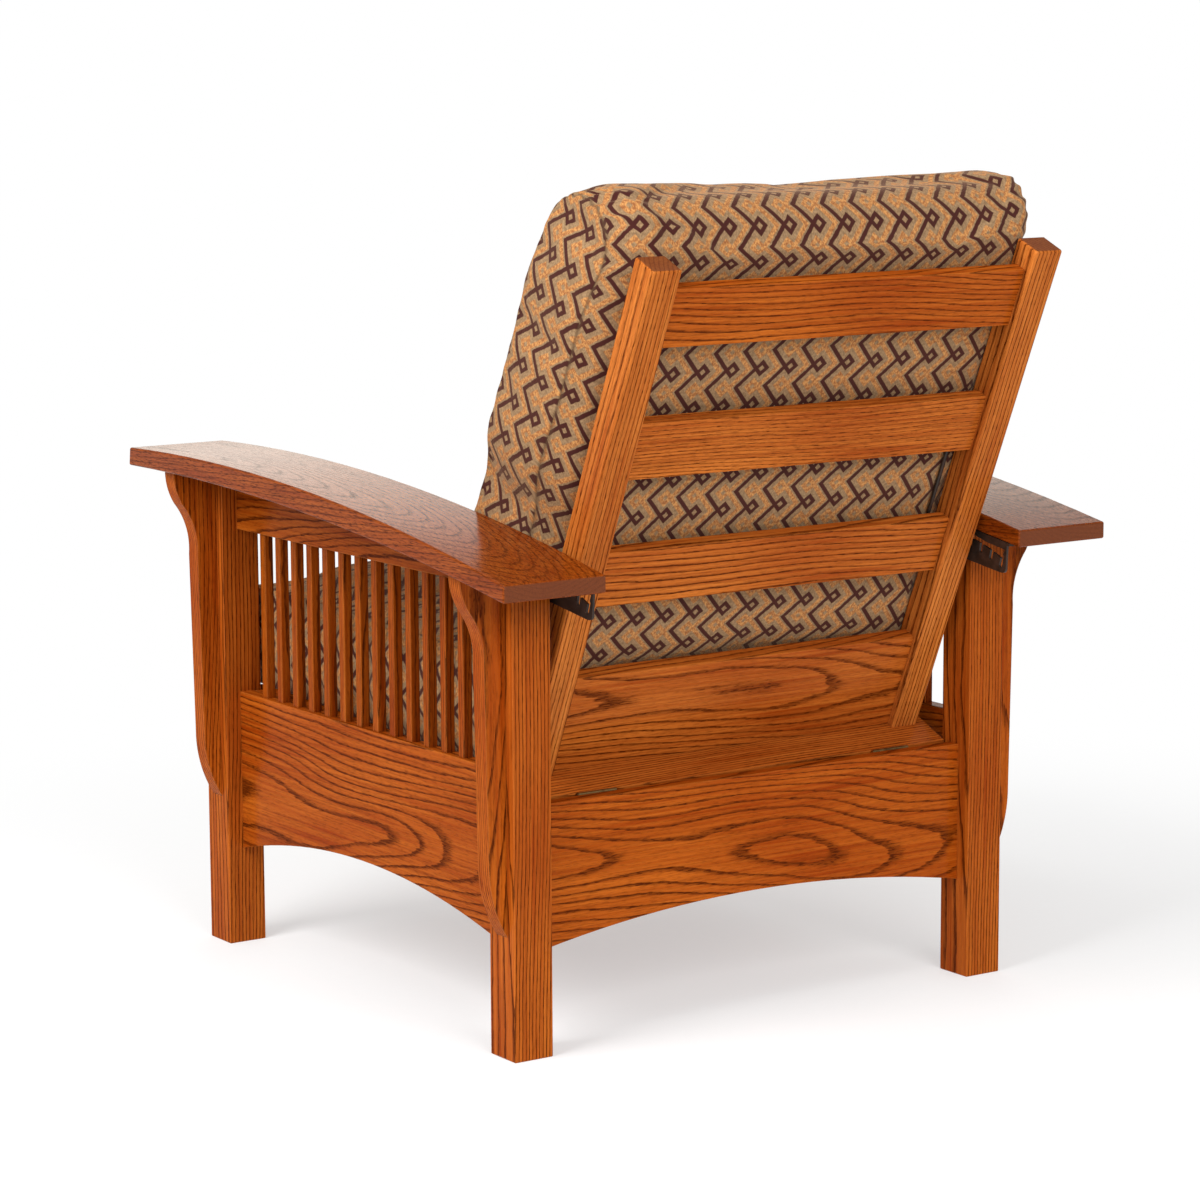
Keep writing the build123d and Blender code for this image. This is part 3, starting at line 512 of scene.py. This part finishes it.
def filled(piece, limit, settle):
    """Fills a held cover by a short cloth simulation, then keeps each place within a limit of
    its start and settles it against what the cushion rests on."""
    start = np.array([vert.co for vert in piece.data.vertices])
    after = start.copy()
    cloth = piece.modifiers.new("cloth", "CLOTH")
    rules = cloth.settings
    rules.quality = CLOTH_QUALITY
    rules.mass = CLOTH_MASS
    rules.use_pressure = True
    rules.uniform_pressure_force = FILL_PRESSURE
    rules.shrink_min = -CLOTH_SLACK
    rules.tension_stiffness = rules.compression_stiffness = CLOTH_STIFFNESS
    rules.shear_stiffness = CLOTH_SHEAR
    rules.bending_stiffness = CLOTH_BENDING
    rules.vertex_group_mass = "seams"
    rules.pin_stiffness = 1.0
    rules.effector_weights.gravity = 0
    cloth.collision_settings.use_collision = False
    for step in range(1, FILL_STEPS + 1):
        scene.frame_set(step)
    graph = bpy.context.evaluated_depsgraph_get()
    after = np.array([vert.co for vert in piece.evaluated_get(graph).data.vertices])
    piece.modifiers.remove(cloth)
    scene.frame_set(1)
    move = after - start
    length = np.linalg.norm(move, axis=1, keepdims=True)
    after = start + move * np.minimum(1.0, limit / np.maximum(length, 1e-9))
    for vert, place in zip(piece.data.vertices, settle(after)):
        vert.co = place


def seat_place(cube):
    """A place of the seat cushion's cover from a place on a cube."""
    a, b, c = cube
    rise = (c + 1) / 2
    draw = SEAT_WAIST * rise * (2 - rise)
    x = a * (SEAT_HALF - SEAT_SIDE_ROOM - draw * (1 - b * b) * abs(a))
    front, rear = SEAT_FRONT + SEAT_END_ROOM, SEAT_REAR + SEAT_RAKE * rise
    y = (front + rear) / 2 + b * ((rear - front) / 2 - draw * (1 - a * a) * abs(b))
    bulge = ((1 - a ** CROWN_POWER) * (1 - b ** CROWN_POWER)) ** CROWN_EASE
    crown = SEAT_CROWN * bulge if c > ON_FACE else 0.0
    x *= 1 - SEAT_TUCK * max(0.0, -c - 1 + TUCK_BAND) / TUCK_BAND
    z = SEAT_FOOT + rise * (SEAT_BOX - SEAT_END_ROOM) + crown - DECK_SLOPE * (y - SEAT_FRONT)
    return Vector((x, y, z))


def seat_weave(cube, middle):
    """The cloth's own coordinates, in metres, on each panel of the seat cushion."""
    place = seat_place(cube)
    if abs(middle.z) > ON_FACE:
        return place.x, place.y
    if abs(middle.x) > ON_FACE:
        return place.y, place.z
    return place.x, place.z


def seat_seam(cube):
    """One where the seat cushion's panels are sewn together."""
    outer = sorted(abs(value) for value in cube)[1]
    return 1.0 if outer > ON_FACE and abs(cube.z) > ON_FACE else 0.0


def seat_settled(places):
    """Keeps the seat cushion above its deck and between the spindles."""
    deck = SEAT_FOOT - DECK_SLOPE * (places[:, 1] - SEAT_FRONT)
    room = SEAT_HALF + SEAT_SIDE_ROOM
    places[:, 2] = np.maximum(places[:, 2], deck)
    places[:, 0] = np.clip(places[:, 0], -room, room)
    return places


# the cloth: a dark and a warm fret on a taupe ground, measured in millimetres along the cloth
TAUPE = (0.200, 0.117, 0.058, 1)
STRAW = (0.37, 0.235, 0.120, 1)
MAROON = (0.047, 0.0090, 0.0070, 1)
GOLD = (0.54, 0.255, 0.080, 1)
RUST = (0.28, 0.082, 0.020, 1)
SHADE = (0.075, 0.040, 0.020, 1)
MILLIMETRES = 1000
FRET_WIDTH = 40.0
FRET_RISE = 22.5
FRET_LOOP = 7.4
FRET_SLANT = 0.95
DIAGONAL = 0.707
WARM_SHARE = 0.74
SEAM_SHARE = 0.60
NAP_DEPTH = 0.0008
WOBBLE_SCALE = 160.0
WOBBLE_U = 1.6
WOBBLE_V = 1.3
THREAD_STRETCH = (1, 0.45, 1)
THREAD_SCALE = 780.0
PATCH_SCALE = 250.0
CLOUDY_SCALE = 45.0
RIB_TURN = 4.2
CORD_TURN = 3.6
DARK_LINE = 4.9
WARM_LINE = 5.4

woven, tree, shader = finish("fret_weave")
place = Wire(tree).add("UVMap", {"uv_map": "weave"}, {})
wobble = noise(place, WOBBLE_SCALE, 1.0) - 0.5
u, v = place.add("SeparateXYZ", {}, {0: place}, ["X", "Y"])
u = u * MILLIMETRES + wobble * WOBBLE_U
v = v * MILLIMETRES + wobble * WOBBLE_V
climb = v.add("Math", {"operation": "PINGPONG"}, {0: v, 1: FRET_RISE})


def woven_line(distance, width):
    """One inside a woven line of this width, from the distance to its middle."""
    off = distance.add("Math", {"operation": "ABSOLUTE"}, {0: distance})
    return eased(off, width / 2 + 0.5, width / 2 - 0.5)


def fret(shift, loop_shift, height, width):
    """A zigzag with a small diamond loop at every second corner."""
    half = FRET_WIDTH / 2
    slanted = u - climb * FRET_SLANT - shift
    stroke = u.add("Math", {"operation": "WRAP"}, {0: slanted, 1: half, 2: -half})
    middle = u.add("Math", {"operation": "WRAP"}, {0: u - loop_shift, 1: half, 2: -half})
    diamond = middle.add("Math", {"operation": "ABSOLUTE"}, {0: middle}) + height - FRET_LOOP
    zigzag, loop = woven_line(stroke * DIAGONAL, width), woven_line(diamond * DIAGONAL, width)
    return zigzag.add("Math", {"operation": "MAXIMUM"}, {0: zigzag, 1: loop})


dark = fret(shift=0.0, loop_shift=-FRET_LOOP, height=climb, width=DARK_LINE)
warm = fret(shift=-30.0, loop_shift=-1.2, height=FRET_RISE - climb, width=WARM_LINE)
thread = place.add("Mapping", {}, {"Vector": place, "Scale": THREAD_STRETCH})
speck = noise(thread, THREAD_SCALE, 2.0)
patch = noise(place, PATCH_SCALE, 1.0)
fleck = speck.add("MapRange", {}, {"Value": speck * 0.55 + patch * 0.45, "From Min": 0.40,
                                   "From Max": 0.60})
ground = mixed(fleck * 0.7, TAUPE, STRAW)
cloth_colour = mixed(warm * (WARM_SHARE + fleck * (1 - WARM_SHARE)), ground, mixed(fleck, RUST, GOLD))
cloth_colour = mixed(dark, cloth_colour, MAROON)
sewn = eased(place.add("Attribute", {"attribute_name": "seam"}, {}, "Fac"), 0.70, 1.0)
cloth_colour = mixed(sewn * SEAM_SHARE, cloth_colour, SHADE)
tree.links.new(cloth_colour.socket, shader.inputs["Base Color"])
cloudy = noise(place, CLOUDY_SCALE, 2.0)
tree.links.new((cloudy * 0.1 + 0.82).socket, shader.inputs["Roughness"])
ribs = v.add("Math", {"operation": "SINE"}, {0: v * RIB_TURN})
cords = u.add("Math", {"operation": "SINE"}, {0: u * CORD_TURN})
relief = ribs * cords * 0.25 + speck + dark * 0.3 + warm * 0.2 - sewn * 2.0
bump = relief.add("Bump", {}, {"Height": relief, "Strength": 0.5, "Distance": NAP_DEPTH})
tree.links.new(bump.socket, shader.inputs["Normal"])
shader.inputs["Specular IOR Level"].default_value = 0.15
shader.inputs["Sheen Weight"].default_value = 0.22
shader.inputs["Sheen Roughness"].default_value = 0.45
shader.inputs["Sheen Tint"].default_value = (1.0, 0.62, 0.38, 1)


def covered(piece):
    """Smooths a filled cover and gives it the woven cloth."""
    piece.data.shade_smooth()
    smooth = piece.modifiers.new("smooth", "SUBSURF")
    smooth.levels = smooth.render_levels = 1
    piece.data.materials.append(woven)


seat = padded_piece("seat_pad", cube_grid(SEAT_CUTS), seat_place, seat_weave, seat_seam)
filled(seat, SEAT_GIVE, seat_settled)
covered(seat)
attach(seat, "root")
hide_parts("seat_cushion")

# The back cushion: a fat pad that stands on the seat and leans on the slats. One long panel
# runs up its rear, over the top and down its front, gathered round the tops of the two boxed
# side panels, with plain sewn seams.
BACK_FOOT_Y = 0.2160
BACK_FOOT_Z = 0.3015
BACK_CUTS = 47
BACK_GIVE = 0.010
PAD_HALF_LOW = 0.2860
PAD_HALF_HIGH = 0.3010
PAD_CORE_N = 0.165
PAD_CORE_T = 0.40
SIDE_CROWD = 0.35

# places round the pad from its rear foot up, over and down: n and t in millimetres at the side
# seam, then n and t at the middle. Along the leaned back, t runs up and n runs forwards.
PAD_RING = [
    (106, 116, 46, 88), (108, 220, 40, 190), (98, 340, 40, 320), (88, 450, 40, 440),
    (84, 555, 40, 555), (79, 614, 42, 627),
    (97, 648, 54, 671), (130, 661, 86, 689), (164, 652, 134, 667),
    (186, 626, 188, 630), (192, 578, 220, 552), (194, 450, 237, 450), (199, 340, 243, 340),
    (207, 236, 241, 230), (211, 150, 224, 150),
    (200, 128, 200, 128), (170, 122, 160, 122), (138, 121, 95, 116),
]
RING_STOPS = (0, 5.6, 9.2, 14.6, 18)
RING_COUNT = len(PAD_RING)
ON_RING = 0.9999
RING_SAMPLES = 361
ACROSS_SAMPLES = 49

# the cover folds from the side seam to its full depth: sharply at the foot, softly in front
FOLD_POWER = 14.0
FOLD_POWER_FOOT = 10.0
FOLD_POWER_FRONT = -11.0
FOLD_EASE = 0.50
FOLD_EASE_FOOT = -0.16
FOLD_EASE_FRONT = 0.22
FOOT_STEPS = 4
FRONT_STEP = 7
FRONT_STEPS = 3

# gathers in the cover round the tops of the side panels
PUCKER = 0.0028
PUCKER_BAND = 0.20
PUCKER_STEP = 7.0
PUCKER_STEPS = 2.6
PUCKER_TURN = 13.5
PUCKER_N = 0.13
PUCKER_T = 0.52
PUCKER_ROUND = 0.12

# how far up the pad it widens over the arms and narrows again at its top
ARM_T = 0.28
ARM_BAND = 0.08
CREST_T = 0.54
CREST_BAND = 0.09
CREST_NARROWS = 0.010

# what the pad rests on: the slats, the hinge board, the inner faces of arms and legs
SLATS_N = 0.0370
BOARD_T = 0.0820
LEGS_HALF = 0.2893
ARMS_ROOM = 0.0180
ROOM_T = 0.27
ROOM_BAND = 0.06


def ring_place(step):
    """The side and middle places of the pad's cover at a step round it, on a smooth curve."""
    first = int(np.floor(step))
    f = step - first
    p0, p1, p2, p3 = (np.array(PAD_RING[(first + i) % RING_COUNT], float) for i in (-1, 0, 1, 2))
    bend = 2 * p0 - 5 * p1 + 4 * p2 - p3 + f * (3 * (p1 - p2) + p3 - p0)
    return (p1 + 0.5 * f * (p2 - p0 + f * bend)) / MILLIMETRES


def ring_step(b, c):
    """The step round the pad of a place on the cube's ring: rear, top, front, bottom."""
    if b <= -ON_RING:
        corner, along = 0, (c + 1) / 2
    elif c >= ON_RING:
        corner, along = 1, (b + 1) / 2
    elif b >= ON_RING:
        corner, along = 2, (1 - c) / 2
    else:
        corner, along = 3, (1 - b) / 2
    start, end = RING_STOPS[corner:corner + 2]
    return start + (end - start) * along


def progress(value, start, band):
    """How far a value has gone through a band from its start, from 0 to 1."""
    return min(1.0, max(0.0, (value - start) / band))


def pad_section(cube):
    """Across, n and t of a place of the pad's cover, from a place on a cube."""
    a, b, c = cube
    a *= 1 + SIDE_CROWD - SIDE_CROWD * a * a
    reach = max(abs(b), abs(c))
    if reach < 1e-9:
        n, t = PAD_CORE_N, PAD_CORE_T
    elif reach <= ON_RING:
        side_n, side_t = ring_place(ring_step(b / reach, c / reach))[:2]
        n = PAD_CORE_N + (side_n - PAD_CORE_N) * reach
        t = PAD_CORE_T + (side_t - PAD_CORE_T) * reach
    else:
        step = ring_step(b, c)
        side_n, side_t, middle_n, middle_t = ring_place(step)
        to_foot = min(step, RING_COUNT - step)
        front = progress(step, FRONT_STEP, FRONT_STEPS) * min(1.0, (RING_COUNT - step) / 2)
        low = max(0.0, 1 - to_foot / FOOT_STEPS)
        power = FOLD_POWER + FOLD_POWER_FOOT * low + FOLD_POWER_FRONT * front
        ease = FOLD_EASE + FOLD_EASE_FOOT * low + FOLD_EASE_FRONT * front
        fold = (1 - abs(a) ** power) ** ease if abs(a) < 1 else 0.0
        n = side_n + (middle_n - side_n) * fold
        t = side_t + (middle_t - side_t) * fold
        near = max(0.0, (abs(a) - 1 + PUCKER_BAND) / PUCKER_BAND)
        near *= max(0.0, 1 - abs(step - PUCKER_STEP) / PUCKER_STEPS)
        pucker = PUCKER * near * sin(step * PUCKER_TURN)
        n += pucker * (n - PUCKER_N) / PUCKER_ROUND
        t += pucker * (t - PUCKER_T) / PUCKER_ROUND
    above = progress(t, ARM_T, ARM_BAND)
    half = PAD_HALF_LOW + (PAD_HALF_HIGH - PAD_HALF_LOW) * above * above * (3 - 2 * above)
    half -= CREST_NARROWS * progress(t, CREST_T, CREST_BAND)
    return a * half, n, t


def leaned(x, n, t):
    """A place in the chair from a place across, out from and up the back."""
    y = BACK_FOOT_Y + t * sin(LEAN) - n * cos(LEAN)
    z = BACK_FOOT_Z + t * cos(LEAN) + n * sin(LEAN)
    return x, y, z


def pad_place(cube):
    """A place of the back cushion's cover from a place on a cube."""
    return Vector(leaned(*pad_section(cube)))


ring_steps = np.linspace(0, RING_COUNT, RING_SAMPLES)
ring_points = np.array([ring_place(step)[2:] for step in ring_steps])
ring_pieces = np.linalg.norm(np.diff(ring_points, axis=0), axis=1)
ring_length = np.concatenate([[0], np.cumsum(ring_pieces)])

pad_stops = np.linspace(0, 1, ACROSS_SAMPLES)
pad_rows = {}


def pad_across(cube):
    """The cloth's length from the middle of the long panel to a place of it, to either side."""
    row = round(cube.y, 4), round(cube.z, 4)
    if row not in pad_rows:
        points = np.array([pad_section((stop, cube.y, cube.z)) for stop in pad_stops])
        lengths = np.linalg.norm(np.diff(points, axis=0), axis=1)
        pad_rows[row] = np.concatenate([[0], np.cumsum(lengths)])
    return copysign(float(np.interp(abs(cube.x), pad_stops, pad_rows[row])), cube.x)


def pad_weave(cube, middle):
    """The cloth's own coordinates, in metres, on each panel of the back cushion."""
    n, t = pad_section(cube)[1:]
    if abs(middle.x) > ON_FACE:
        return n, t
    step = ring_step(cube.y, cube.z)
    if middle.y < -ON_FACE and step > RING_COUNT - 0.1:
        step = 0.0
    return pad_across(cube), float(np.interp(step, ring_steps, ring_length))


def pad_seam(cube):
    """One where the side panels are sewn to the long panel."""
    return 1.0 if abs(cube.x) > ON_FACE and max(abs(cube.y), abs(cube.z)) > ON_FACE else 0.0


def pad_settled(places):
    """Keeps the back cushion in front of the slats and between the arms and legs."""
    y, z = places[:, 1] - BACK_FOOT_Y, places[:, 2] - BACK_FOOT_Z
    n = np.maximum(z * sin(LEAN) - y * cos(LEAN), SLATS_N)
    t = np.maximum(z * cos(LEAN) + y * sin(LEAN), BOARD_T)
    room = LEGS_HALF + ARMS_ROOM * np.clip((t - ROOM_T) / ROOM_BAND, 0, 1)
    return np.column_stack(leaned(np.clip(places[:, 0], -room, room), n, t))


pad = padded_piece("back_pad", cube_grid(BACK_CUTS), pad_place, pad_weave, pad_seam)
filled(pad, BACK_GIVE, pad_settled)
covered(pad)
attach(pad, "back")
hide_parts("back_cushion")
